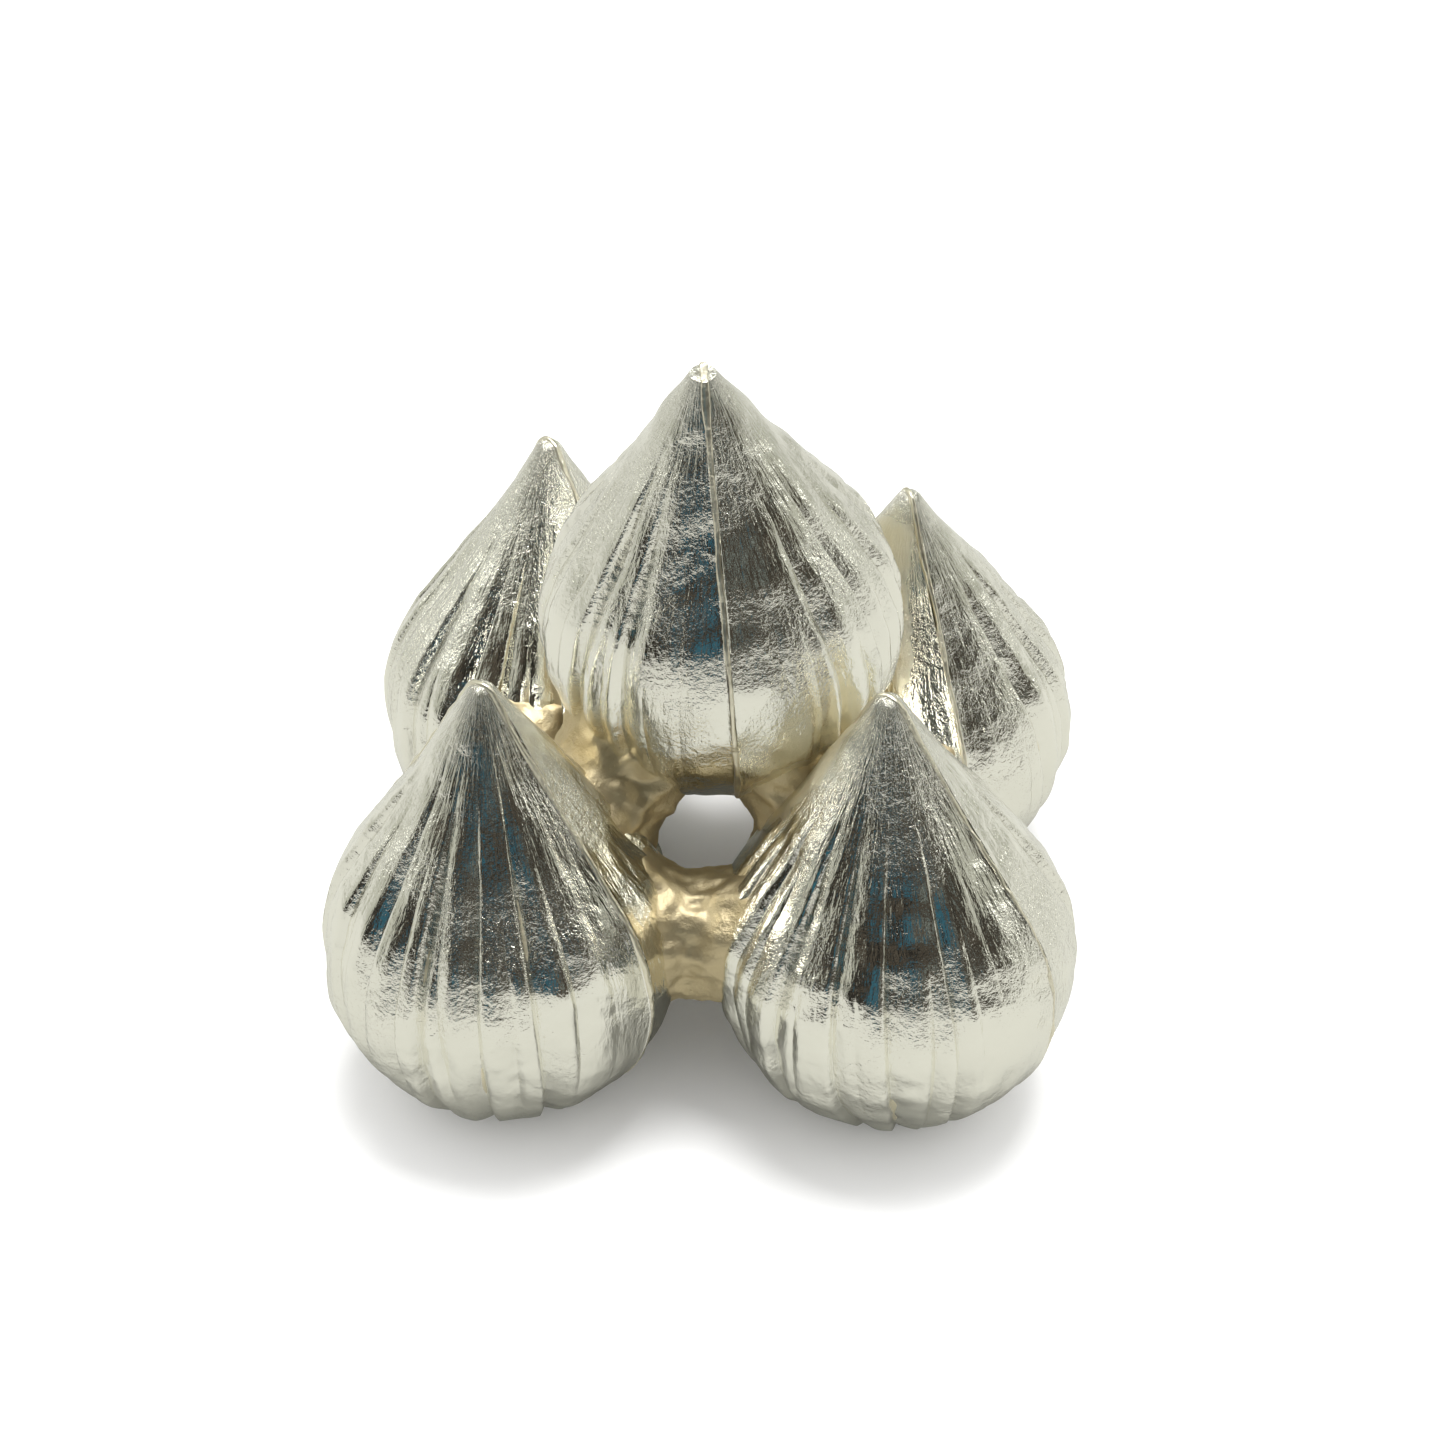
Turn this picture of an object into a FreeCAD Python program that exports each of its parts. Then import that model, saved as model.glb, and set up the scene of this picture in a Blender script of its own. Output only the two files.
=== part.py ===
import FreeCAD, Part
import math
import os

import Sketcher
from FreeCAD import Placement, Rotation, Vector

# Cluster of five hollow silver modaks (pleated sweet dumplings), a votive ornament.
#
# Four modaks stand in a square on filed feet and a fifth is seated on top, over the gap between them.
# Each modak is two die-struck half shells joined by a soldered seam, and solder collars join the
# modaks to each other. Nothing moves. Millimetres, +Z up; the origin is on the resting plane under
# the middle of the square, and -Y is the front.

# Driving dimensions: name, value and meaning. Everything else is worked out from these.
SIZES = [
    ("bulb_diameter", 18.0, "widest outside diameter of a modak"),
    ("modak_height", 24.3, "resting plane to tip of one modak"),
    ("foot_diameter", 5.0, "flat filed under each base modak"),
    ("foot_thickness", 0.9, "metal left above the filed foot"),
    ("tip_radius", 0.8, "outside radius of the rounded tip"),
    ("flank_radius", 150.0, "concave curve between bulb and tip"),
    ("wall", 0.5, "thickness of the struck sheet"),
    ("seam_width", 0.24, "solder between the two half shells"),
    ("seam_proud", 0.08, "how far the seam stands out of the shells"),
    ("sector_count", 16, "equal sectors round one half shell, each wide enough for one pleat"),
    ("pleat_count", 12, "sectors that are pleated, leaving the rest smooth beside the seam"),
    ("pleat_depth", 0.28, "deepest part of the valley beside a pleat"),
    ("pleat_nose", 0.9, "radius of the rounded valley"),
    ("pleat_fade", 0.7, "how much flatter than the bulb a valley runs"),
    ("pleat_foot", 60.0, "degrees below the waist where a valley ends"),
    ("pleat_flank", 90.0, "concave run of a valley up the flank, tighter than the flank so it dies out"),
    ("base_gap", 1.5, "gap between neighbouring base bulbs"),
    ("seat_gap", 0.845, "gap between the top bulb and the bulbs or flanks it is seated on"),
    ("collar_share", 0.356, "waist radius of the solder collar between two base modaks, over the bulb's"),
    ("collar_lift_share", 0.11, "height of a collar's middle above the bulbs' centres, over the bulb's radius"),
    ("seat_share", 0.366, "waist radius of the solder seat under the top modak, over the bulb's"),
    ("fillet_share", 0.5, "radius of the concave side of collars and seats, over the bulb's"),
]
# Worked out in the sheet: name, formula and meaning.
WORKED_OUT = [
    ("centre_height", "=sqrt((bulb_diameter / 2) ^ 2 - (foot_diameter / 2) ^ 2)", "resting plane to bulb centre"),
    ("tip_centre", "=modak_height - centre_height - tip_radius", "bulb centre to the middle of the tip"),
    ("to_bulb", "=bulb_diameter / 2 + flank_radius", "flank's centre to bulb centre"),
    ("to_tip", "=tip_radius + flank_radius", "flank's centre to the middle of the tip"),
    ("flank_sine", "=(to_bulb ^ 2 + tip_centre ^ 2 - to_tip ^ 2) / (2 * to_bulb * tip_centre)", "see flank_angle"),
    ("flank_cosine", "=sqrt(1 - flank_sine ^ 2)", "see flank_angle"),
    ("base_pitch", "=bulb_diameter + base_gap", "side of the square of base modaks"),
    ("seat_reach", "=bulb_diameter + seat_gap", "top bulb centre to a base bulb's centre, or more"),
    ("diagonal", "=base_pitch / sqrt(2)", "middle of the square to a corner"),
    ("rise_off_bulbs", "=sqrt(seat_reach ^ 2 - diagonal ^ 2)", "rise that clears the base bulbs"),
    ("rise_off_flanks", "=(seat_reach - diagonal * flank_cosine) / flank_sine", "rise that clears their flanks"),
    ("top_rise", "=max(rise_off_bulbs; rise_off_flanks)", "top bulb's centre above the base bulbs' centres"),
    ("collar_waist", "=collar_share * bulb_diameter / 2", "waist radius of a collar"),
    ("collar_lift", "=collar_lift_share * bulb_diameter / 2", "height of its middle above the centres"),
    ("seat_waist", "=seat_share * bulb_diameter / 2", "waist radius of a seat"),
    ("seat_lift", "=0", "a seat's middle is midway between the centres"),
    ("solder_fillet", "=fillet_share * bulb_diameter / 2", "radius of the concave side of both"),
]
# How each modak was soldered by eye: shift from its nominal place, lean of its tip towards +X and
# towards +Y, and which way its first half shell faces.
SETTING = ("shift_x", "shift_y", "lean_x", "lean_y", "facing")
MODAKS = {
    "front_left": (0.05, -0.25, -1.5, 1.0, 60.0),
    "front_right": (-0.1, 0.4, -3.0, 0.3, 60.0),
    "rear_left": (-0.05, 0.05, 1.4, 6.0, 50.0),
    "rear_right": (0.05, -0.05, -1.5, -6.5, 23.0),
    "top": (0.4, 0.0, -2.6, -8.5, 8.0),
}
# Which corner of the square each base modak stands on, as signs along X and Y.
CORNERS = {
    "front_left": (-1, -1),
    "front_right": (1, -1),
    "rear_left": (-1, 1),
    "rear_right": (1, 1),
}
COLLARS = {
    "front_collar": ("front_left", "front_right"),
    "rear_collar": ("rear_left", "rear_right"),
    "left_collar": ("front_left", "rear_left"),
    "right_collar": ("front_right", "rear_right"),
    "seat_front_left": ("top", "front_left"),
    "seat_front_right": ("top", "front_right"),
    "seat_rear_left": ("top", "rear_left"),
    "seat_rear_right": ("top", "rear_right"),
}

doc = FreeCAD.newDocument("modak_cluster")
sheet = doc.addObject("Spreadsheet::Sheet", "Sizes")


def fill_sheet():
    """Writes every dimension to the sheet, each with its alias."""
    rows = SIZES + WORKED_OUT
    for modak, values in MODAKS.items():
        rows += [(f"{modak}_{what}", value, "as soldered") for what, value in zip(SETTING, values)]
    for row, (name, value, meaning) in enumerate(rows, start=1):
        sheet.set(f"A{row}", name)
        sheet.set(f"B{row}", str(value))
        sheet.set(f"C{row}", meaning)
        sheet.setAlias(f"B{row}", name)
    doc.recompute()


def size(name):
    return float(sheet.get(name))


# Expressions that several features share.
BULB = "(Sizes.bulb_diameter / 2)"
PLEAT_PITCH = "(180 / Sizes.sector_count)"


def bulb_radius():
    return size("bulb_diameter") / 2


def pleat_pitch():
    return 180 / size("sector_count")


def flank_angle():
    """Elevation, seen from the bulb's centre, of the point where the flank leaves the bulb."""
    return math.asin(size("flank_sine"))


def centre_expressions(modak):
    """Where a modak's bulb centre is, as three expressions."""
    if modak == "top":
        x, y, z = "0", "0", "Sizes.centre_height + Sizes.top_rise"
    else:
        side_x, side_y = CORNERS[modak]
        x = f"{side_x} * Sizes.base_pitch / 2"
        y = f"{side_y} * Sizes.base_pitch / 2"
        z = "Sizes.centre_height"
    return f"({x} + Sizes.{modak}_shift_x)", f"({y} + Sizes.{modak}_shift_y)", f"({z})"


def place_expression(modak):
    """Where a modak stands: its bulb's centre, its lean and which way its first half shell faces."""
    x, y, z = centre_expressions(modak)
    lean_x = f"rotation(vector(0; 1; 0); Sizes.{modak}_lean_x)"
    lean_y = f"rotation(vector(1; 0; 0); -Sizes.{modak}_lean_y)"
    facing = f"rotation(vector(0; 0; 1); Sizes.{modak}_facing)"
    return f"placement(vector({x}; {y}; {z}); {lean_x} * {lean_y} * {facing})"


def between_expression(first, second, lift):
    """Midway between two bulbs' centres but lifted, with local X along the line that joins them."""
    pairs = list(zip(centre_expressions(first), centre_expressions(second)))
    middle = "; ".join(f"({a} + {b}) / 2" for a, b in pairs) + f" + Sizes.{lift}"
    along = [f"({b} - {a})" for a, b in pairs]
    azimuth = f"rotation(vector(0; 0; 1); atan2({along[1]}; {along[0]}))"
    climb = f"rotation(vector(0; 1; 0); -atan2({along[2]}; hypot({along[0]}; {along[1]})))"
    return f"placement(vector({middle}); {azimuth} * {climb})"


def body_named(name):
    body = doc.addObject("PartDesign::Body", name)
    body.Label = name
    return body


def origin_part(body, role):
    return next(part for part in body.Origin.OriginFeatures if part.Role == role)


def new_sketch(body, name, plane):
    sketch = body.newObject("Sketcher::SketchObject", f"{body.Name}_{name}")
    sketch.AttachmentSupport = (origin_part(body, plane), [""])
    sketch.MapMode = "FlatFace"
    return sketch


def bind(sketch, kind, args, name, expression):
    """Adds a dimension to the sketch under a name and ties it to the sheet."""
    index = sketch.addConstraint(Sketcher.Constraint(kind, *args))
    sketch.renameConstraint(index, name)
    sketch.setExpression(f"Constraints.{name}", expression)


def add_arc(sketch, centre, radius, first, last):
    circle = Part.Circle(centre, Vector(0, 0, 1), radius)
    return sketch.addGeometry(Part.ArcOfCircle(circle, first, last))


def direction(start, end):
    return math.atan2(end.y - start.y, end.x - start.x) % (2 * math.pi)


def outline(body, name, inset, inset_expression, floor=None, floor_expression=None):
    """Half outline of a modak moved inwards by inset: bulb, concave flank and rounded tip.

    It lies in the seam plane with the bulb's centre at the origin. With a floor, the outline is cut
    off flat that far below the centre.
    """
    sketch = new_sketch(body, name, "YZ_Plane")
    bulb = bulb_radius() - inset
    flank = size("flank_radius") + inset
    tip = size("tip_radius") - inset
    angle = flank_angle()
    bulb_centre = Vector(0, 0, 0)
    tip_middle = Vector(0, size("tip_centre"), 0)
    outwards = Vector(math.cos(angle), math.sin(angle), 0)
    flank_centre = outwards * (bulb + flank)
    meets_tip = tip_middle + (flank_centre - tip_middle).normalize() * tip
    start = -math.pi / 2 if floor is None else -math.asin(floor / bulb)
    lowest = Vector(0, bulb * math.sin(start), 0)
    foot = Vector(bulb * math.cos(start), bulb * math.sin(start), 0)

    bulb_arc = add_arc(sketch, bulb_centre, bulb, start, angle)
    flank_top = direction(flank_centre, meets_tip)
    flank_arc = add_arc(sketch, flank_centre, flank, flank_top, direction(flank_centre, outwards * bulb))
    tip_arc = add_arc(sketch, tip_middle, tip, direction(tip_middle, meets_tip), math.pi / 2)
    axis = sketch.addGeometry(Part.LineSegment(tip_middle + Vector(0, tip, 0), lowest))
    sketch.addConstraint(
        [
            Sketcher.Constraint("Coincident", bulb_arc, 3, -1, 1),
            Sketcher.Constraint("Tangent", bulb_arc, 2, flank_arc, 2),
            Sketcher.Constraint("Tangent", flank_arc, 1, tip_arc, 1),
            Sketcher.Constraint("PointOnObject", tip_arc, 3, -2),
            Sketcher.Constraint("Coincident", tip_arc, 2, axis, 1),
            Sketcher.Constraint("PointOnObject", axis, 1, -2),
            Sketcher.Constraint("PointOnObject", axis, 2, -2),
        ]
    )
    if floor is None:
        sketch.addConstraint(Sketcher.Constraint("Coincident", bulb_arc, 1, axis, 2))
    else:
        base = sketch.addGeometry(Part.LineSegment(lowest, foot))
        sketch.addConstraint(
            [
                Sketcher.Constraint("Coincident", axis, 2, base, 1),
                Sketcher.Constraint("Coincident", base, 2, bulb_arc, 1),
                Sketcher.Constraint("Horizontal", base),
            ]
        )
        bind(sketch, "DistanceY", (base, 1, -1, 1, floor), "floor", floor_expression)
    bind(sketch, "Radius", (bulb_arc, bulb), "bulb", f"{BULB} - {inset_expression}")
    bind(sketch, "Radius", (flank_arc, flank), "flank", f"Sizes.flank_radius + {inset_expression}")
    bind(sketch, "Radius", (tip_arc, tip), "tip", f"Sizes.tip_radius - {inset_expression}")
    bind(sketch, "DistanceY", (-1, 1, tip_arc, 3, size("tip_centre")), "rise", "Sizes.tip_centre")
    return sketch


def cavity_outline(body, modak):
    """Inside outline; a base modak's cavity stops above the filed foot."""
    if modak == "top":
        return outline(body, "cavity_outline", size("wall"), "Sizes.wall")
    floor = size("centre_height") - size("foot_thickness")
    expression = "Sizes.centre_height - Sizes.foot_thickness"
    return outline(body, "cavity_outline", size("wall"), "Sizes.wall", floor, expression)


def add_feature(body, kind, name, profile):
    feature = body.newObject(f"PartDesign::{kind}", f"{body.Name}_{name}")
    feature.Profile = profile
    feature.Refine = False
    return feature


def turn(body, kind, name, profile, angle):
    """A Revolution or Groove of the profile about the modak's axis, on the side facing +X."""
    feature = add_feature(body, kind, name, profile)
    feature.ReferenceAxis = (profile, ["V_Axis"])
    feature.Angle = angle
    feature.Reversed = True
    doc.recompute()
    return feature


def repeat_round_axis(body, name, feature, count):
    """Repeats a feature round the modak's axis, one sector apart."""
    pattern = body.newObject("PartDesign::PolarPattern", f"{body.Name}_{name}")
    pattern.Originals = [feature]
    pattern.Axis = (origin_part(body, "Z_Axis"), [""])
    pattern.setExpression("Angle", f"{PLEAT_PITCH} * (Sizes.{count} - 1)")
    pattern.setExpression("Occurrences", f"Sizes.{count}")
    pattern.Reversed = count == "sector_count"
    pattern.Refine = False
    body.Tip = pattern
    doc.recompute()


def cut_away(body, name, sketch):
    """Removes everything behind the sketch's plane, and makes sure that something went."""
    reach = 2 * size("modak_height")
    corners = [Vector(x * reach, y * reach, 0) for x, y in ((-1, -1), (1, -1), (1, 1), (-1, 1))]
    for start, end in zip(corners, corners[1:] + corners[:1]):
        sketch.addGeometry(Part.LineSegment(start, end))
    before = body.Shape.Volume
    pocket = add_feature(body, "Pocket", name, sketch)
    pocket.Type = "ThroughAll"
    doc.recompute()
    if not 0 < body.Shape.Volume < before:
        raise RuntimeError(f"{pocket.Name} cut nothing")


def trim_at_seam(body):
    """Makes room for half of the seam's solder."""
    sketch = new_sketch(body, "seam_side", "YZ_Plane")
    sketch.setExpression("AttachmentOffset.Base.z", "Sizes.seam_width / 2")
    cut_away(body, "seam_cut", sketch)


def stand(body, modak, turned_round=False):
    """Puts a piece of a modak in its place, and files a base modak's foot level with the resting plane."""
    place = place_expression(modak)
    if turned_round:
        place += " * placement(vector(0; 0; 0); rotation(vector(0; 0; 1); 180))"
    body.setExpression("Placement", place)
    doc.recompute()
    if modak != "top":
        sketch = new_sketch(body, "foot_side", "XY_Plane")
        sketch.setExpression("AttachmentOffset", f"minvert({place})")
        cut_away(body, "foot_cut", sketch)
    return body


def press_pleats(body):
    """Presses one valley down the side facing the middle, then repeats it round the axis."""
    first = f"-{PLEAT_PITCH} * (Sizes.pleat_count - 1) / 2"
    path = new_sketch(body, "pleat_path", "XZ_Plane")
    path.AttachmentOffset = Placement(
        Vector(0, 0, 0), Rotation(Vector(0, 1, 0), -pleat_pitch() * (size("pleat_count") - 1) / 2)
    )
    path.setExpression("AttachmentOffset.Rotation.Angle", first)
    centre = Vector(-size("pleat_fade"), 0, 0)
    radius = bulb_radius() + size("pleat_fade") + size("pleat_nose") - size("pleat_depth")
    low = -math.radians(size("pleat_foot"))
    high = flank_angle()
    valley = add_arc(path, centre, radius, low, high)
    outwards = Vector(math.cos(high), math.sin(high), 0)
    run_centre = centre + outwards * (radius + size("pleat_flank"))
    last = size("tip_centre") * 0.9
    end_angle = math.pi - math.asin((last - run_centre.y) / size("pleat_flank"))
    run = add_arc(path, run_centre, size("pleat_flank"), end_angle, high + math.pi)
    path.addConstraint(
        [
            Sketcher.Constraint("PointOnObject", valley, 3, -1),
            Sketcher.Constraint("Tangent", valley, 2, run, 2),
        ]
    )
    bind(path, "DistanceX", (valley, 3, -1, 1, size("pleat_fade")), "fade", "Sizes.pleat_fade")
    reach = f"{BULB} + Sizes.pleat_fade + Sizes.pleat_nose - Sizes.pleat_depth"
    bind(path, "Radius", (valley, radius), "valley", reach)
    bind(path, "Radius", (run, size("pleat_flank")), "run", "Sizes.pleat_flank")
    bind(path, "DistanceY", (-1, 1, run, 1, last), "run_height", "Sizes.tip_centre * 0.9")
    doc.recompute()

    section = body.newObject("Sketcher::SketchObject", f"{body.Name}_pleat_section")
    section.AttachmentSupport = (path, ["Edge1"])
    section.MapMode = "NormalToEdge"
    nose = section.addGeometry(Part.Circle(Vector(0, 0, 0), Vector(0, 0, 1), size("pleat_nose")))
    section.addConstraint(Sketcher.Constraint("Coincident", nose, 3, -1, 1))
    bind(section, "Radius", (nose, size("pleat_nose")), "nose", "Sizes.pleat_nose")
    doc.recompute()

    before = body.Shape.Volume
    pleat = add_feature(body, "SubtractivePipe", "pleat", section)
    pleat.Spine = (path, ["Edge1", "Edge2"])
    doc.recompute()
    repeat_round_axis(body, "pleats", pleat, "pleat_count")
    if not 0 < body.Shape.Volume < before:
        raise RuntimeError(f"{pleat.Name} cut nothing")


def half_shell(modak, half):
    """One die-struck half; the second half is the same pressing turned round to face the first."""
    body = body_named(f"{modak}_shell_{half}")
    sector = turn(body, "Revolution", "sector", outline(body, "outline", 0.0, "0"), pleat_pitch())
    sector.setExpression("Angle", PLEAT_PITCH)
    repeat_round_axis(body, "sectors", sector, "sector_count")
    turn(body, "Groove", "cavity", cavity_outline(body, modak), 180)
    trim_at_seam(body)
    press_pleats(body)
    return stand(body, modak, half == "b")


def seam_ring(modak):
    """The thread of solder between the two halves, standing slightly proud all the way round."""
    body = body_named(f"{modak}_seam")
    proud = outline(body, "outline", -size("seam_proud"), "(-Sizes.seam_proud)")
    ring = add_feature(body, "Pad", "ring", proud)
    ring.Length = size("seam_width")
    ring.setExpression("Length", "Sizes.seam_width")
    ring.SideType = "Symmetric"
    doc.recompute()
    before = body.Shape.Volume
    hollow = add_feature(body, "Pocket", "hollow", cavity_outline(body, modak))
    hollow.Type = "ThroughAll"
    hollow.SideType = "Symmetric"
    doc.recompute()
    if not 0 < body.Shape.Volume < before:
        raise RuntimeError(f"{hollow.Name} cut nothing")
    other_side = body.newObject("PartDesign::Mirrored", f"{body.Name}_other_side")
    other_side.Originals = [ring, hollow]
    other_side.MirrorPlane = (origin_part(body, "XZ_Plane"), [""])
    body.Tip = other_side
    doc.recompute()
    return stand(body, modak)


def core(modak):
    """A solid that fills a modak to the middle of its wall, only used to shape the solder."""
    body = body_named(f"{modak}_core")
    inset = size("wall") / 2
    turn(body, "Revolution", "inside", outline(body, "outline", inset, "Sizes.wall / 2"), 360)
    body.setExpression("Placement", place_expression(modak))
    doc.recompute()
    return body


def hourglass(name, modaks, kind):
    """Solder drawn in between two bulbs: a round bar whose side curves in to its waist."""
    body = body_named(f"{name}_blank")
    sketch = new_sketch(body, "outline", "XZ_Plane")
    fillet = size("solder_fillet")
    narrowest = size(f"{kind}_waist")
    half_length = 0.65 * fillet
    edge = narrowest + fillet - math.sqrt(fillet**2 - half_length**2)
    middle = Vector(0, narrowest + fillet, 0)
    left = Vector(-half_length, edge, 0)
    right = Vector(half_length, edge, 0)
    side = add_arc(sketch, middle, fillet, direction(middle, left), direction(middle, right))
    right_end = sketch.addGeometry(Part.LineSegment(right, Vector(half_length, 0, 0)))
    axis = sketch.addGeometry(Part.LineSegment(Vector(half_length, 0, 0), Vector(-half_length, 0, 0)))
    left_end = sketch.addGeometry(Part.LineSegment(Vector(-half_length, 0, 0), left))
    sketch.addConstraint(
        [
            Sketcher.Constraint("Coincident", side, 2, right_end, 1),
            Sketcher.Constraint("Coincident", right_end, 2, axis, 1),
            Sketcher.Constraint("Coincident", axis, 2, left_end, 1),
            Sketcher.Constraint("Coincident", left_end, 2, side, 1),
            Sketcher.Constraint("Vertical", right_end),
            Sketcher.Constraint("Vertical", left_end),
            Sketcher.Constraint("PointOnObject", axis, 1, -1),
            Sketcher.Constraint("PointOnObject", axis, 2, -1),
            Sketcher.Constraint("PointOnObject", side, 3, -2),
        ]
    )
    bind(sketch, "Radius", (side, fillet), "fillet", "Sizes.solder_fillet")
    centre_reach = f"Sizes.{kind}_waist + Sizes.solder_fillet"
    bind(sketch, "DistanceY", (-1, 1, side, 3, narrowest + fillet), "waist", centre_reach)
    bind(sketch, "DistanceX", (-1, 1, right_end, 2, half_length), "half_length", "0.65 * Sizes.solder_fillet")
    bar = add_feature(body, "Revolution", "bar", sketch)
    bar.ReferenceAxis = (sketch, ["H_Axis"])
    bar.Angle = 360
    body.setExpression("Placement", between_expression(*modaks, f"{kind}_lift"))
    doc.recompute()
    return body


def solder(name, modaks, kind, wholes):
    """A collar or seat: the hourglass less the two modaks, so that it fits them exactly."""
    part = hourglass(name, modaks, kind)
    for modak in modaks:
        cut = doc.addObject("Part::Cut", f"{name}_less_{modak}")
        cut.Base = part
        cut.Tool = wholes[modak]
        cut.Refine = False
        doc.recompute()
        if not 0 < cut.Shape.Volume < 0.9 * part.Shape.Volume:
            raise RuntimeError(f"{cut.Name} went wrong")
        part = cut
    part.Label = name
    return part


def check(obj):
    bad = {"Invalid", "Error"} & set(obj.State)
    if bad:
        raise RuntimeError(f"{obj.Label}: {', '.join(bad)}")


fill_sheet()
parts = []
wholes = {}
for modak in MODAKS:
    pieces = [half_shell(modak, "a"), half_shell(modak, "b"), seam_ring(modak)]
    parts += pieces
    whole = doc.addObject("Part::MultiFuse", f"{modak}_whole")
    whole.Shapes = pieces + [core(modak)]
    whole.Refine = False
    doc.recompute()
    wholes[modak] = whole
for name, modaks in COLLARS.items():
    parts.append(solder(name, modaks, "seat" if "top" in modaks else "collar", wholes))
doc.recompute()

for obj in doc.Objects:
    check(obj)
os.makedirs("parts", exist_ok=True)
for part in parts:
    shape = part.Shape
    if shape.isNull() or not shape.isValid() or len(shape.Solids) != 1:
        raise RuntimeError(f"{part.Label} isn't one valid solid")
    shape.exportStep(f"parts/{part.Label}.step")
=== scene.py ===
import math

import bpy
import numpy as np
from mathutils import Matrix, Vector


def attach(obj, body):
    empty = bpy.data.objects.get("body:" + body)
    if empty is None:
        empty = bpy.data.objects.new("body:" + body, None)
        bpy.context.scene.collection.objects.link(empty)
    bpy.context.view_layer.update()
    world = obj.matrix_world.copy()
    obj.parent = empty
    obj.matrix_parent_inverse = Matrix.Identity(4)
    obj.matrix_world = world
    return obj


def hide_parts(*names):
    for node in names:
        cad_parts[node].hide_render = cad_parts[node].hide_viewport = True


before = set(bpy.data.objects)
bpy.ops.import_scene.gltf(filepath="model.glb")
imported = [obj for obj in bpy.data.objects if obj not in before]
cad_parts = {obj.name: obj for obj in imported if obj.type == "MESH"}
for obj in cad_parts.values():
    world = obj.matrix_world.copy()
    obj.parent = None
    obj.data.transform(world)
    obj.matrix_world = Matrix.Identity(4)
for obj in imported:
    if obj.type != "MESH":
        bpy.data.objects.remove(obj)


def write_size():
    """Updates the view layer after loading and before finishing."""
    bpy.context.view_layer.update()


write_size()

MM = 0.001

# The struck form, in millimetres, measured from the bulb's centre.
BULB = 9.0
HEIGHT = 24.3
FOOT = 2.5
CENTRE = math.sqrt(BULB**2 - FOOT**2)
TIP = 0.8
FLANK = 150.0
WALL = 0.5
SEAM = 0.24
PROUD = 0.08
FILLET = 4.5
# How much was nipped off the top modak's tip.
NIPPED = 0.3
# Degrees from one pleat to the next.
PLEAT = 10.5
RISE = HEIGHT - CENTRE - TIP
FLANK_START = math.degrees(
    math.asin(((BULB + FLANK) ** 2 + RISE**2 - (TIP + FLANK) ** 2) / (2 * (BULB + FLANK) * RISE))
)

# Bulb centre, lean towards +X and +Y, facing of the first half shell, all as soldered; then the
# seed of the modak's own pleats.
MODAKS = {
    "front_left": ((-9.7, -10.0, CENTRE), (-1.5, 1.0), 60.0, 11),
    "front_right": ((9.65, -9.35, CENTRE), (-3.0, 0.3), 60.0, 23),
    "rear_left": ((-9.8, 9.8, CENTRE), (1.4, 6.0), 50.0, 37),
    "rear_right": ((9.8, 9.7, CENTRE), (-1.5, -6.5), 23.0, 41),
    "top": ((0.4, 0.0, CENTRE + 13.1), (-2.6, -8.5), 8.0, 53),
}
COLLARS = {
    "front_collar": ("front_left", "front_right"),
    "rear_collar": ("rear_left", "rear_right"),
    "left_collar": ("front_left", "rear_left"),
    "right_collar": ("front_right", "rear_right"),
}
SEATS = {f"seat_{modak}": (modak, "top") for modak in MODAKS if modak != "top"}


def turn_matrix(degrees, axis):
    return np.array(Matrix.Rotation(math.radians(degrees), 3, axis))


def stance(modak):
    """Rotation and bulb centre of a modak."""
    centre, (lean_x, lean_y), facing, _ = MODAKS[modak]
    rotation = turn_matrix(lean_x, "Y") @ turn_matrix(-lean_y, "X") @ turn_matrix(facing, "Z")
    return rotation, np.array(centre)


def smooth(low, high, value):
    t = np.clip((value - low) / (high - low), 0.0, 1.0)
    return t * t * (3 - 2 * t)


def ripples(points, wavelength, seed, count=18):
    """Soft random swell from -1 to 1 over points: plane waves in random directions."""
    rng = np.random.default_rng(seed)
    total = np.zeros(points.shape[:-1])
    for _ in range(count):
        way = rng.normal(size=3)
        way *= 2 * math.pi / (wavelength * rng.uniform(0.7, 1.5) * np.linalg.norm(way))
        total += np.sin(points @ way + rng.uniform(0, 2 * math.pi))
    return total / math.sqrt(count / 2) / 2


def outline(inset, steps):
    """Points (radius, height), outward normals and latitudes down the profile, tip to lowest point.

    Latitude is 90 at the tip, FLANK_START where the bulb begins and -90 at the lowest point.
    """
    start = math.radians(FLANK_START)
    flank_centre = (BULB + FLANK) * np.array([math.cos(start), math.sin(start)])
    tip_angle = math.atan2(flank_centre[1] - RISE, flank_centre[0])
    tip_latitude = 86.0
    flank_angles = (math.pi + tip_angle, math.pi + start)
    # Each run: centre, radius, first and last angle, side of the normal, latitudes, share of steps.
    runs = [
        ((0.0, RISE), TIP - inset, math.pi / 2, tip_angle, 1, 90.0, tip_latitude, 0.07),
        (tuple(flank_centre), FLANK + inset, *flank_angles, -1, tip_latitude, FLANK_START, 0.35),
        ((0.0, 0.0), BULB - inset, start, -math.pi / 2, 1, FLANK_START, -90.0, 0.58),
    ]
    points, normals, latitudes = [], [], []
    for centre, radius, first, last, side, high, low, share in runs:
        skip = 1 if points else 0
        t = np.linspace(0, 1, max(4, round(steps * share)) + 1)[skip:]
        angles = first + (last - first) * t
        rays = np.stack([np.cos(angles), np.sin(angles)], axis=1)
        points.append(np.array(centre) + radius * rays)
        normals.append(side * rays)
        latitudes.append(high + (low - high) * t)
    return np.concatenate(points), np.concatenate(normals), np.concatenate(latitudes)


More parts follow.
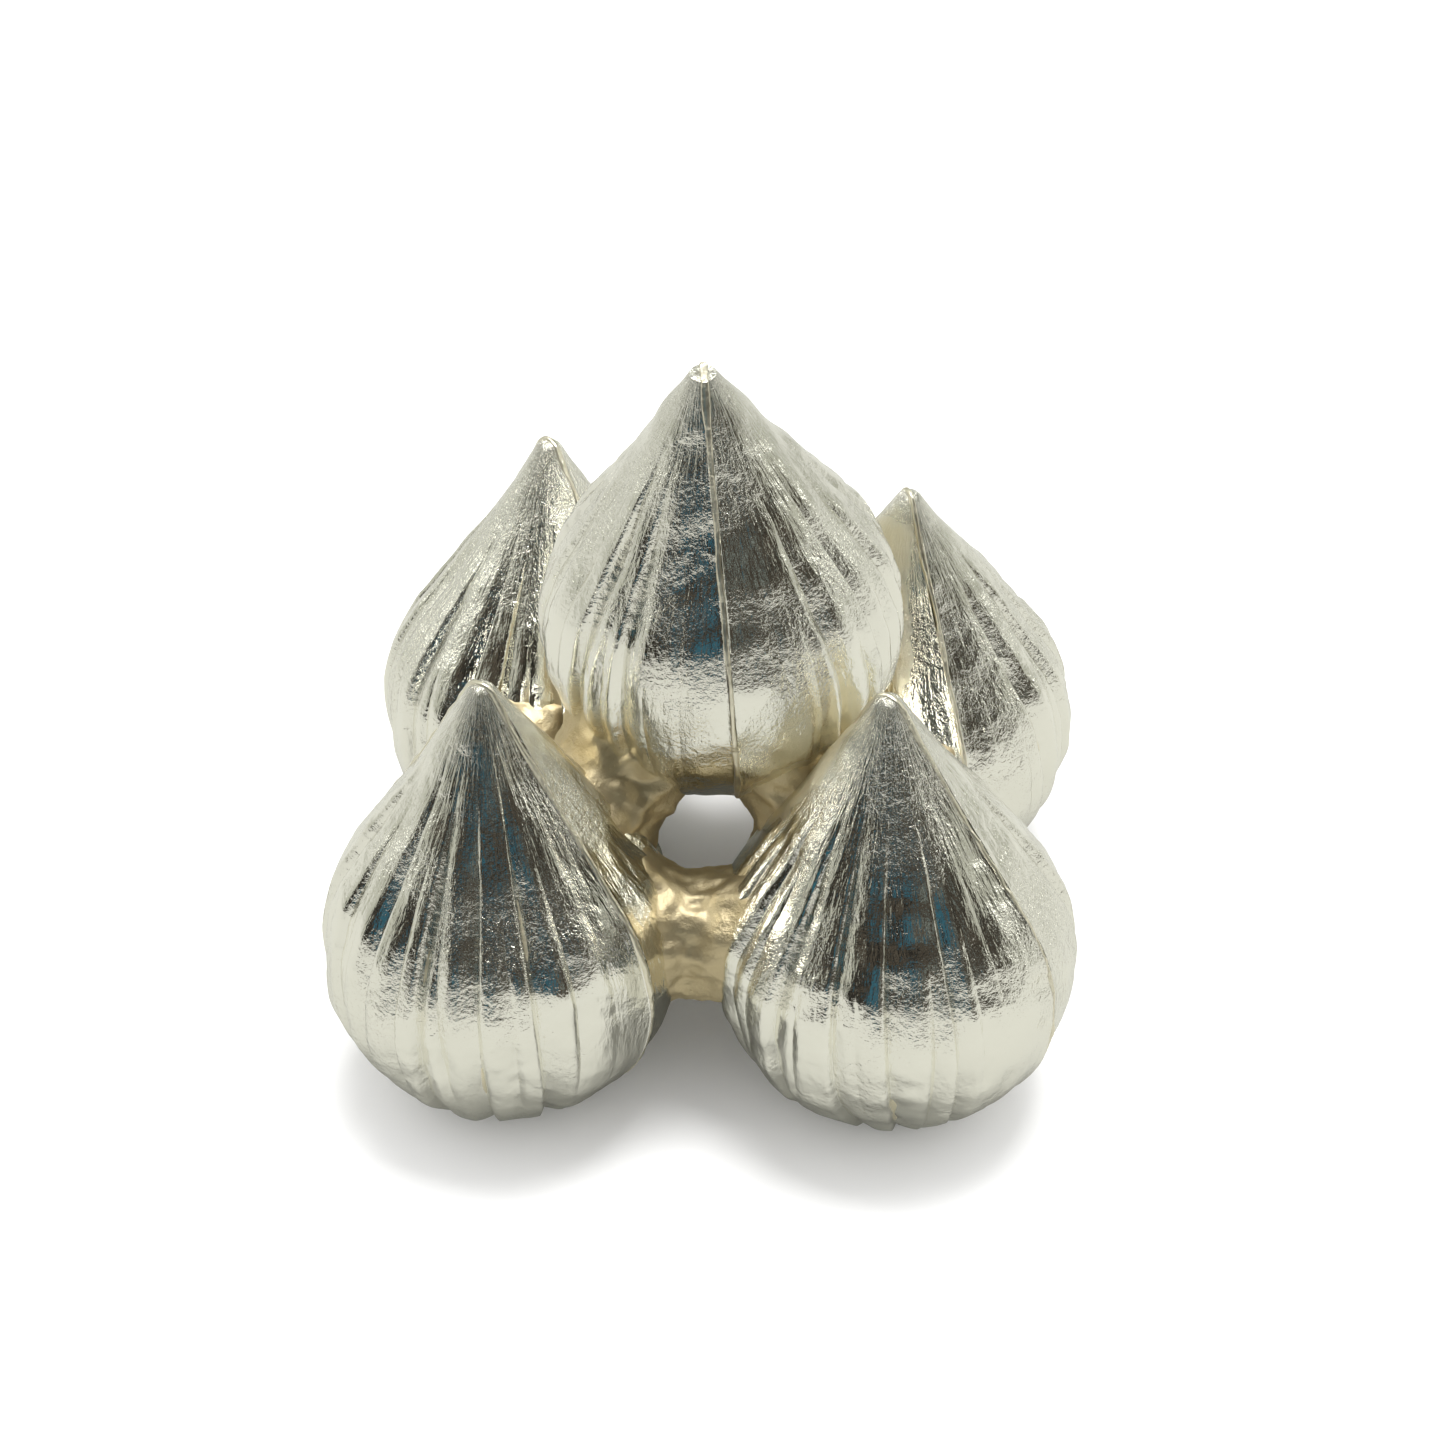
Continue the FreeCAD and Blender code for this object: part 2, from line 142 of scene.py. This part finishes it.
def creases(seed, half):
    """The folds pressed into one half shell, from seam to seam.

    Every other fold is a main one, which starts near the tip and reaches low; the rest are shorter.
    """
    rng = np.random.default_rng(seed * 10 + half)
    made = []
    for index in range(15):
        main = index % 2 == 0
        made.append(
            {
                "azimuth": (index - 7) * PLEAT + rng.uniform(-2.6, 2.6),
                "sway": rng.uniform(-3.0, 3.0),
                "top": rng.uniform(58, 80) if main else rng.uniform(30, 60),
                "low": rng.uniform(-76, -62) if main else rng.uniform(-44, -14),
                "depth": rng.uniform(0.36, 0.56) if main else rng.uniform(0.20, 0.42),
                "steep": rng.uniform(0.16, 0.36),
                "gentle": rng.uniform(0.55, 1.05) if main else rng.uniform(0.35, 0.75),
                "flip": rng.random() < 0.35,
            }
        )
    for crease in made:
        kept = 1 - smooth(54, 74, abs(crease["azimuth"]))
        crease["depth"] *= 0.1 + 0.9 * kept
    return made


def crease_azimuth(crease, latitudes):
    return crease["azimuth"] + crease["sway"] * np.sin(np.radians(latitudes * 1.3 + crease["azimuth"]))


def pressed(folds, azimuth, latitude, radius):
    """Depth of the folds at every point: each is steep on one side and gentle on the other."""
    depth = np.zeros_like(azimuth)
    for fold in folds:
        away = (azimuth - crease_azimuth(fold, latitude)) / PLEAT
        if fold["flip"]:
            away = -away
        below = smooth(fold["low"] - 14, fold["low"] + 30, latitude)
        above = 1 - smooth(fold["top"] - 40, fold["top"] + 8, latitude)
        reach = below * above
        steep = np.clip(1 + away / fold["steep"], 0, 1)
        gentle = np.clip(1 - away / fold["gentle"], 0, 1)
        depth += fold["depth"] * reach * np.where(away < 0, steep**1.3, gentle**1.3)
    return depth * smooth(0.4, 6.5, radius)


def other_bulbs(modak):
    return [np.array(centre) for name, (centre, *_) in MODAKS.items() if name != modak]


def recess(points, modak):
    """How deep a point is in the hollows between the modaks, from 0 on the outside to 1 at the solder."""
    nearest = np.full(points.shape[:-1], 99.0)
    for centre in other_bulbs(modak):
        nearest = np.minimum(nearest, np.linalg.norm(points - centre, axis=-1) - BULB)
    return 1 - smooth(0.5, 4.2, nearest)


def make_object(name, points, faces, slot, node_name, shade, flow=None):
    """One piece; shade is its nearness to the hollows and flow its place across and along the pleats."""
    mesh = bpy.data.meshes.new(name)
    mesh.from_pydata((points * MM).tolist(), [], faces)
    layer = mesh.color_attributes.new("recess", "FLOAT_COLOR", "POINT")
    layer.data.foreach_set("color", np.repeat(shade[:, None], 4, axis=1).astype(np.float32).ravel())
    if flow is None:
        flow = points
    layer = mesh.attributes.new("flow", "FLOAT_VECTOR", "POINT")
    layer.data.foreach_set("vector", flow.astype(np.float32).ravel())
    mesh.validate()
    mesh.polygons.foreach_set("use_smooth", [True] * len(mesh.polygons))
    mesh.update()
    obj = bpy.data.objects.new(name, mesh)
    bpy.context.scene.collection.objects.link(obj)
    obj.data.materials.append(MATERIALS[slot])
    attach(obj, "root")
    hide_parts(node_name)
    return obj


def grid_faces(rows, columns, start=0, flip=False):
    index = np.arange(rows * columns).reshape(rows, columns) + start
    corners = [index[:-1, :-1], index[1:, :-1], index[1:, 1:], index[:-1, 1:]]
    quads = np.stack(corners, axis=-1).reshape(-1, 4)
    return quads[:, ::-1] if flip else quads


def half_shell(modak, letter):
    """One struck half: pleated outside, plain inside, flat faces along the seam."""
    rotation, centre = stance(modak)
    seed = MODAKS[modak][3]
    half = "ab".index(letter)
    folds = creases(seed, half)
    profile, normals, latitude = outline(0.0, ROWS)
    rows = len(profile)
    stops = [np.full(rows, -90.0)] + [crease_azimuth(f, latitude) for f in folds] + [np.full(rows, 90.0)]
    ease = 0.5 - 0.5 * np.cos(np.pi * np.arange(BETWEEN) / BETWEEN)
    spans = [np.outer(a, 1 - ease) + np.outer(b, ease) for a, b in zip(stops, stops[1:])]
    azimuth = np.concatenate(spans + [stops[-1][:, None]], axis=1)
    columns = azimuth.shape[1]
    latitudes = np.repeat(latitude[:, None], columns, axis=1)
    radius = np.repeat(profile[:, :1], columns, axis=1)
    turned = np.radians(azimuth)
    heights = profile[:, 1:] + 0 * radius
    smooth_form = np.stack([np.cos(turned) * radius, np.sin(turned) * radius, heights], axis=-1)
    shift = -pressed(folds, azimuth, latitudes, radius)
    fade = smooth(0.3, 2.5, radius)
    dented = smooth(-0.5, 0.7, ripples(smooth_form, 5.0, seed + half + 3))
    swell = 0.12 * ripples(smooth_form, 7.0, seed + half) + 0.055 * ripples(smooth_form, 2.4, seed + half + 5)
    dents = 0.020 * ripples(smooth_form, 1.1, seed + half + 9)
    dents += 0.010 * ripples(smooth_form, 0.6, seed + half + 13)
    shift += fade * swell
    shift += fade * dented * dents
    # The sheet is pulled flat beside the seam and thrown up into a thin lip at its edge.
    beside = 90 - np.abs(azimuth)
    gap = np.radians(beside) * radius
    shift += fade * (0.07 * np.exp(-((gap / 0.35) ** 2)) - 0.05 * np.exp(-(((gap - 1.0) / 0.6) ** 2)))
    r = radius + normals[:, :1] * shift
    z = profile[:, 1:] + normals[:, 1:] * shift
    outside = np.stack([np.cos(turned) * r, np.sin(turned) * r, z], axis=-1)

    inner_profile, _, _ = outline(WALL, ROWS)
    inner_azimuth = np.linspace(-90, 90, 13)
    inside = np.stack(
        [
            np.cos(np.radians(inner_azimuth))[None, :] * inner_profile[:, :1],
            np.sin(np.radians(inner_azimuth))[None, :] * inner_profile[:, :1],
            inner_profile[:, 1:] + 0 * inner_azimuth[None, :],
        ],
        axis=-1,
    )
    floor = -CENTRE + 0.9
    if modak != "top":
        inside[..., 2] = np.maximum(inside[..., 2], floor)
    else:
        outside[..., 2] = np.minimum(outside[..., 2], RISE + TIP - NIPPED)
        inside[..., 2] = np.minimum(inside[..., 2], RISE + TIP - NIPPED - 0.2)
    for sheet in (outside, inside):
        sheet[..., 0] = np.maximum(sheet[..., 0], SEAM / 2)
    if letter == "b":
        half_turn = turn_matrix(180, "Z")
        outside, inside = outside @ half_turn.T, inside @ half_turn.T
    outside = outside @ rotation.T + centre
    inside = inside @ rotation.T + centre
    if modak != "top":
        outside[..., 2] = np.maximum(outside[..., 2], 0.0)
    start = outside.shape[0] * outside.shape[1]
    points = np.concatenate([outside.reshape(-1, 3), inside.reshape(-1, 3)])
    faces = [grid_faces(rows, columns), grid_faces(rows, 13, start, flip=True)]
    outer = np.arange(start).reshape(rows, columns)
    inner = np.arange(rows * 13).reshape(rows, 13) + start
    faces.append(np.stack([outer[:-1, 0], inner[:-1, 0], inner[1:, 0], outer[1:, 0]], axis=-1))
    faces.append(np.stack([outer[:-1, -1], outer[1:, -1], inner[1:, -1], inner[:-1, -1]], axis=-1))
    # The inside of the shell is marked as lying fully in the painted shade.
    shade = np.concatenate([recess(outside.reshape(-1, 3), modak), np.ones(inside.size // 3)])
    run = np.concatenate([[0.0], np.cumsum(np.linalg.norm(np.diff(profile, axis=0), axis=1))])
    across = azimuth / PLEAT + 40 * seed + 20 * half
    flow = np.stack([across, np.repeat(run[:, None], columns, axis=1), 0 * across], axis=-1).reshape(-1, 3)
    flow = np.concatenate([flow, np.zeros((inside.size // 3, 3))])
    name = f"{modak}_shell_{letter}"
    faces = np.concatenate(faces).tolist()
    return make_object(f"{name}_struck", points, faces, "silver", name, shade, flow)


def seam_thread(modak):
    """The bead of solder that runs round a modak between its halves."""
    rotation, centre = stance(modak)
    seed = MODAKS[modak][3] + 100
    profile, normals, _ = outline(0.0, SEAM_ROWS)
    inner, _, _ = outline(WALL, SEAM_ROWS)
    if modak != "top":
        inner = np.stack([inner[:, 0], np.maximum(inner[:, 1], -CENTRE + 0.9)], axis=1)
    loop = np.concatenate([profile, profile[-2:0:-1] * np.array([-1, 1])])
    out = np.concatenate([normals, normals[-2:0:-1] * np.array([-1, 1])])
    core = np.concatenate([inner, inner[-2:0:-1] * np.array([-1, 1])])
    across = np.linspace(-1, 1, 9)
    spine = np.stack([np.zeros(len(loop)), loop[:, 0], loop[:, 1]], axis=-1)
    lump = 1 + 0.55 * ripples(spine, 1.6, seed) + 0.3 * ripples(spine, 0.6, seed + 1)
    width = SEAM / 2 * (1.25 + 0.35 * ripples(spine, 2.2, seed + 2))
    height = (PROUD * 1.1 * lump)[:, None] * np.sqrt(np.maximum(1 - across**2, 0))[None, :] + 0.03
    wander = 0.05 * ripples(spine, 4.0, seed + 3)
    x = width[:, None] * across[None, :] + wander[:, None]
    top = np.stack([x, loop[:, :1] + out[:, :1] * height, loop[:, 1:] + out[:, 1:] * height], axis=-1)
    ends = np.array([SEAM / 2, -SEAM / 2])
    both = np.zeros((len(core), 2))
    under = np.stack([both + ends, both + core[:, :1], both + core[:, 1:]], axis=-1)
    ring = np.concatenate([top, under], axis=1)
    if modak == "top":
        ring[..., 2] = np.minimum(ring[..., 2], RISE + TIP - NIPPED + 0.03)
    ring = ring @ rotation.T + centre
    if modak != "top":
        ring[..., 2] = np.maximum(ring[..., 2], 0.0)
    rows, columns = ring.shape[:2]
    index = np.arange(rows * columns).reshape(rows, columns)
    ahead = np.roll(index, -1, axis=0)
    right = np.roll(index, -1, axis=1)
    faces = np.stack([index, right, np.roll(right, -1, axis=0), ahead], axis=-1).reshape(-1, 4)
    points = ring.reshape(-1, 3)
    name = f"{modak}_seam"
    return make_object(f"{name}_thread", points, faces.tolist(), "solder", name, recess(points, modak))


def web(name, modaks, waist, lift, seed):
    """Lumpy solder drawn in between two bulbs, thinnest half way."""
    first, second = (np.array(MODAKS[m][0]) for m in modaks)
    along = second - first
    span = np.linalg.norm(along)
    along /= span
    level = np.cross([0, 0, 1.0], along)
    level /= np.linalg.norm(level)
    rise = np.cross(along, level)
    middle = (first + second) / 2 + np.array([0, 0, lift])
    turns = np.linspace(0, 2 * math.pi, AROUND, endpoint=False)
    steps = np.linspace(-1, 1, ALONG)
    reach = 3.9 * steps
    narrow = waist + FILLET - np.sqrt(FILLET**2 - np.minimum(np.abs(reach), 2.6) ** 2)
    ring = np.cos(turns)[None, :, None] * level + np.sin(turns)[None, :, None] * rise
    spine = middle + reach[:, None, None] * along
    wide = narrow[:, None, None] * ring
    points = spine + wide
    swell = 1 + 0.10 * ripples(points, 5.0, seed)
    swell += 0.05 * ripples(points, 1.8, seed + 1)
    swell += 0.02 * ripples(points, 0.7, seed + 2)
    points = spine + wide * swell[..., None]
    rows, columns = points.shape[:2]
    index = np.arange(rows * columns).reshape(rows, columns)
    right = np.roll(index, -1, axis=1)
    faces = np.stack([index[:-1], index[1:], right[1:], right[:-1]], axis=-1).reshape(-1, 4).tolist()
    faces.append(index[0].tolist())
    faces.append(index[-1][::-1].tolist())
    flat = points.reshape(-1, 3)
    # The whole web is marked as lying fully in the painted shade.
    return make_object(f"{name}_web", flat, faces, "solder", name, np.ones(len(flat)))


# ---- materials


def node(tree, kind, **settings):
    made = tree.nodes.new(kind)
    for key, value in settings.items():
        setattr(made, key, value)
    return made


def put(tree, target, socket, value):
    """Sets a socket from a number, a colour or another socket."""
    entry = target.inputs[socket]
    if hasattr(value, "is_output"):
        tree.links.new(value, entry)
    else:
        entry.default_value = value


def maths(tree, operation, first, second):
    made = node(tree, "ShaderNodeMath", operation=operation)
    put(tree, made, 0, first)
    put(tree, made, 1, second)
    return made.outputs[0]


def spread(tree, value, low, high, new_low=0.0, new_high=1.0):
    made = node(tree, "ShaderNodeMapRange", interpolation_type="SMOOTHSTEP")
    sockets = ("Value", "From Min", "From Max", "To Min", "To Max")
    for socket, entry in zip(sockets, (value, low, high, new_low, new_high)):
        put(tree, made, socket, entry)
    return made.outputs[0]


def grain(tree, place, scale, detail=3.0, roughness=0.55, distortion=0.0):
    made = node(tree, "ShaderNodeTexNoise")
    put(tree, made, "Vector", place)
    put(tree, made, "Scale", scale)
    put(tree, made, "Detail", detail)
    put(tree, made, "Roughness", roughness)
    put(tree, made, "Distortion", distortion)
    return made.outputs["Fac"]


def blend(tree, amount, first, second):
    made = node(tree, "ShaderNodeMix", data_type="RGBA")
    put(tree, made, 0, amount)
    put(tree, made, 6, first)
    put(tree, made, 7, second)
    return made.outputs[2]


def finish_and_shade_group():
    """Finish shared by silver and solder: painted shade that darkens and yellows a spot towards the hollows
    between the modaks, mixed with random uneven tone, how dull a spot is, and its grainy normal.
    """
    tree = bpy.data.node_groups.new("struck_finish_and_shade", "ShaderNodeTree")
    entries = (("Streak Depth", 0.05), ("Grain Depth", 0.03), ("Dull", 0.1), ("Hollow Dull", 0.4))
    for title, value in entries:
        entry = tree.interface.new_socket(title, in_out="INPUT", socket_type="NodeSocketFloat")
        entry.default_value = value
    tree.interface.new_socket("Painted Shade And Tone", in_out="OUTPUT", socket_type="NodeSocketFloat")
    tree.interface.new_socket("Roughness", in_out="OUTPUT", socket_type="NodeSocketFloat")
    tree.interface.new_socket("Normal", in_out="OUTPUT", socket_type="NodeSocketVector")
    given = node(tree, "NodeGroupInput").outputs
    result = node(tree, "NodeGroupOutput")
    place = node(tree, "ShaderNodeTexCoord").outputs["Object"]
    hollow = node(tree, "ShaderNodeAttribute", attribute_name="recess").outputs["Fac"]
    flow = node(tree, "ShaderNodeAttribute", attribute_name="flow").outputs["Vector"]
    stretched = node(tree, "ShaderNodeVectorMath", operation="MULTIPLY")
    put(tree, stretched, 0, flow)
    put(tree, stretched, 1, (1.0, 0.16, 1.0))
    streaks = grain(tree, stretched.outputs[0], 3.2, 3.0, 0.6, 0.35)
    broad = grain(tree, place, 330, 3.0)
    fine = grain(tree, place, 2600, 3.0, 0.62)
    specks = grain(tree, place, 7000, 2.0, 0.7)
    patches = spread(tree, grain(tree, place, 210, 2.0), 0.40, 0.62)
    uneven = maths(tree, "MULTIPLY", maths(tree, "SUBTRACT", broad, 0.5), 1.3)
    # Painted shade: the colour mask rises towards the hollows between the modaks, mixed with random uneven
    # tone.
    painted_shade_and_tone = spread(tree, maths(tree, "ADD", hollow, uneven), 0.25, 0.85)
    put(tree, result, "Painted Shade And Tone", painted_shade_and_tone)
    dull = spread(tree, painted_shade_and_tone, 0.0, 1.0, given["Dull"], given["Hollow Dull"])
    put(tree, result, "Roughness", maths(tree, "ADD", dull, maths(tree, "MULTIPLY", patches, 0.08)))
    grainy = maths(tree, "ADD", maths(tree, "MULTIPLY", patches, 0.7), 0.3)
    normal = None
    # Each layer of relief: height, depth, share of that depth and strength.
    layers = (
        (streaks, given["Streak Depth"], 1.0, 1.0),
        (fine, given["Grain Depth"], 1.0, grainy),
        (specks, given["Grain Depth"], 0.45, grainy),
    )
    for height, depth, share, strength in layers:
        bump = node(tree, "ShaderNodeBump")
        put(tree, bump, "Strength", strength)
        put(tree, bump, "Distance", maths(tree, "MULTIPLY", depth, share * MM))
        put(tree, bump, "Height", height)
        if normal is not None:
            put(tree, bump, "Normal", normal)
        normal = bump.outputs["Normal"]
    put(tree, result, "Normal", normal)
    return tree


def metal(name, colour, painted_shade_colour, settings):
    """A metal with the shared finish and painted hollow shade; settings are the group's own inputs, depths in
    millimetres.
    """
    material = bpy.data.materials.new(name)
    material.use_nodes = True
    tree = material.node_tree
    shader = tree.nodes["Principled BSDF"]
    finish_and_shade = node(tree, "ShaderNodeGroup", node_tree=FINISH_AND_SHADE)
    for socket, value in settings.items():
        put(tree, finish_and_shade, socket, value)
    # The base colour turns to the painted shade colour in the hollows between the modaks.
    put(tree, shader, "Base Color", blend(tree, finish_and_shade.outputs["Painted Shade And Tone"], colour, painted_shade_colour))
    put(tree, shader, "Metallic", 1.0)
    put(tree, shader, "Roughness", finish_and_shade.outputs["Roughness"])
    put(tree, shader, "Normal", finish_and_shade.outputs["Normal"])
    return material


ROWS = 230
BETWEEN = 14
SEAM_ROWS = 300
AROUND = 120
ALONG = 40

FINISH_AND_SHADE = finish_and_shade_group()
# The second colour of each metal is its painted shade colour for the hollows between the modaks.
MATERIALS = {
    "silver": metal(
        "polished_silver",
        (0.92, 0.91, 0.84, 1),
        (0.86, 0.80, 0.62, 1),
        {"Dull": 0.08, "Hollow Dull": 0.40, "Streak Depth": 0.07, "Grain Depth": 0.09},
    ),
    "solder": metal(
        "silver_solder",
        (0.84, 0.80, 0.66, 1),
        (0.66, 0.56, 0.36, 1),
        {"Dull": 0.28, "Hollow Dull": 0.50, "Streak Depth": 0.0, "Grain Depth": 0.12},
    ),
}

for modak in MODAKS:
    half_shell(modak, "a")
    half_shell(modak, "b")
    seam_thread(modak)
for number, (name, modaks) in enumerate(COLLARS.items()):
    web(name, modaks, 3.2, 1.0, 200 + number)
for number, (name, modaks) in enumerate(SEATS.items()):
    web(name, modaks, 3.3, 0.0, 220 + number)

# ---- studio


def floor():
    mesh = bpy.data.meshes.new("floor")
    side = 3.0
    corners = [(-side, -side, 0), (side, -side, 0), (side, side, 0), (-side, side, 0)]
    mesh.from_pydata(corners, [], [(0, 1, 2, 3)])
    obj = bpy.data.objects.new("floor", mesh)
    bpy.context.scene.collection.objects.link(obj)
    material = bpy.data.materials.new("pale_table")
    material.use_nodes = True
    tree = material.node_tree
    shader = tree.nodes["Principled BSDF"]
    seen = node(tree, "ShaderNodeLightPath").outputs["Is Camera Ray"]
    put(tree, shader, "Base Color", blend(tree, seen, (0.40, 0.40, 0.365, 1), (0.96, 0.96, 0.96, 1)))
    put(tree, shader, "Roughness", 0.9)
    mesh.materials.append(material)


def patch(tree, way, toward, reach, soft, strength=1.0):
    """Mask of a round patch of the surroundings, in the direction that it is seen in."""
    facing = node(tree, "ShaderNodeVectorMath", operation="DOT_PRODUCT")
    put(tree, facing, 0, way)
    put(tree, facing, 1, toward)
    return spread(tree, facing.outputs["Value"], reach, reach + soft, 0.0, strength)


def surroundings():
    """Even white light for matt things; the metal mirrors pale cloth, a dim room in front and lamps."""
    world = bpy.data.worlds.new("studio")
    bpy.context.scene.world = world
    world.use_nodes = True
    tree = world.node_tree
    background = tree.nodes["Background"]
    way = node(tree, "ShaderNodeTexCoord").outputs["Generated"]
    parts = node(tree, "ShaderNodeSeparateXYZ")
    put(tree, parts, 0, way)
    x, y, z = parts.outputs
    azimuth = maths(tree, "ARCTAN2", x, maths(tree, "MULTIPLY", y, -1.0))
    left_edge = spread(tree, azimuth, -1.25, -0.95)
    right_edge = spread(tree, azimuth, 1.2, 1.5, 1.0, 0.0)
    heights = maths(tree, "MULTIPLY", spread(tree, z, -0.1, 0.0), spread(tree, z, 0.86, 0.95, 1.0, 0.0))
    dark = maths(tree, "MULTIPLY", maths(tree, "MULTIPLY", left_edge, right_edge), heights)
    mirrored = node(tree, "ShaderNodeLightPath").outputs["Is Glossy Ray"]
    clutter = spread(tree, grain(tree, way, 3.0, 3.0), 0.4, 0.65)
    room = blend(tree, clutter, (0.007, 0.006, 0.005, 1), (0.075, 0.062, 0.046, 1))
    glints = spread(tree, grain(tree, way, 20.0, 4.0, 0.7), 0.54, 0.72, 0.0, 0.5)
    room = blend(tree, glints, room, (0.46, 0.45, 0.39, 1))
    # Two things in the room that the bulbs mirror: a blue-green cloth and a pale wall.
    for toward, reach, colour in (
        ((-0.10, -0.95, 0.29), 0.965, (0.03, 0.13, 0.19, 1)),
        ((0.44, -0.83, 0.33), 0.978, (0.24, 0.28, 0.26, 1)),
    ):
        room = blend(tree, patch(tree, way, toward, reach, 0.02, 0.8), room, colour)
    folds = spread(tree, grain(tree, way, 2.2, 2.0), 0.35, 0.65)
    cloth = blend(tree, folds, (0.36, 0.365, 0.305, 1), (0.56, 0.565, 0.49, 1))
    shown = blend(tree, dark, cloth, room)
    # Small bright lamps beside and above, mirrored as thin lines along the folds.
    for toward, reach in (
        ((-0.86, 0.18, 0.47), 0.972),
        ((0.87, 0.24, 0.43), 0.978),
        ((-0.15, 0.25, 0.957), 0.985),
    ):
        shown = blend(tree, patch(tree, way, toward, reach, 0.012), shown, (2.3, 2.3, 2.2, 1))
    put(tree, background, "Color", blend(tree, mirrored, (1.15, 1.15, 1.15, 1), shown))
    put(tree, background, "Strength", 1.0)


def area_light(name, place, target, width, power):
    light = bpy.data.lights.new(name, "AREA")
    light.size = width
    light.energy = power
    obj = bpy.data.objects.new(name, light)
    obj.location = place
    obj.rotation_euler = (Vector(target) - Vector(place)).to_track_quat("-Z", "Y").to_euler()
    bpy.context.scene.collection.objects.link(obj)


def camera():
    azimuth, elevation, distance = math.radians(4.3), math.radians(38.9), 0.150
    level = math.cos(elevation)
    back = Vector((math.sin(azimuth) * level, -math.cos(azimuth) * level, math.sin(elevation)))
    data = bpy.data.cameras.new("camera")
    data.sensor_width = 36
    data.lens = 72.6
    data.shift_x = 0.0066
    data.shift_y = 0.0315
    data.clip_start = 0.01
    obj = bpy.data.objects.new("camera", data)
    obj.location = Vector((0, 0, 0.012)) + back * distance
    obj.rotation_euler = (-back).to_track_quat("-Z", "Y").to_euler()
    bpy.context.scene.collection.objects.link(obj)
    bpy.context.scene.camera = obj


floor()
surroundings()
area_light("window", (0.03, 0.07, 0.45), (0, 0, 0.01), 0.22, 1.9)
camera()
bpy.context.scene.view_settings.view_transform = "Standard"

write_size()
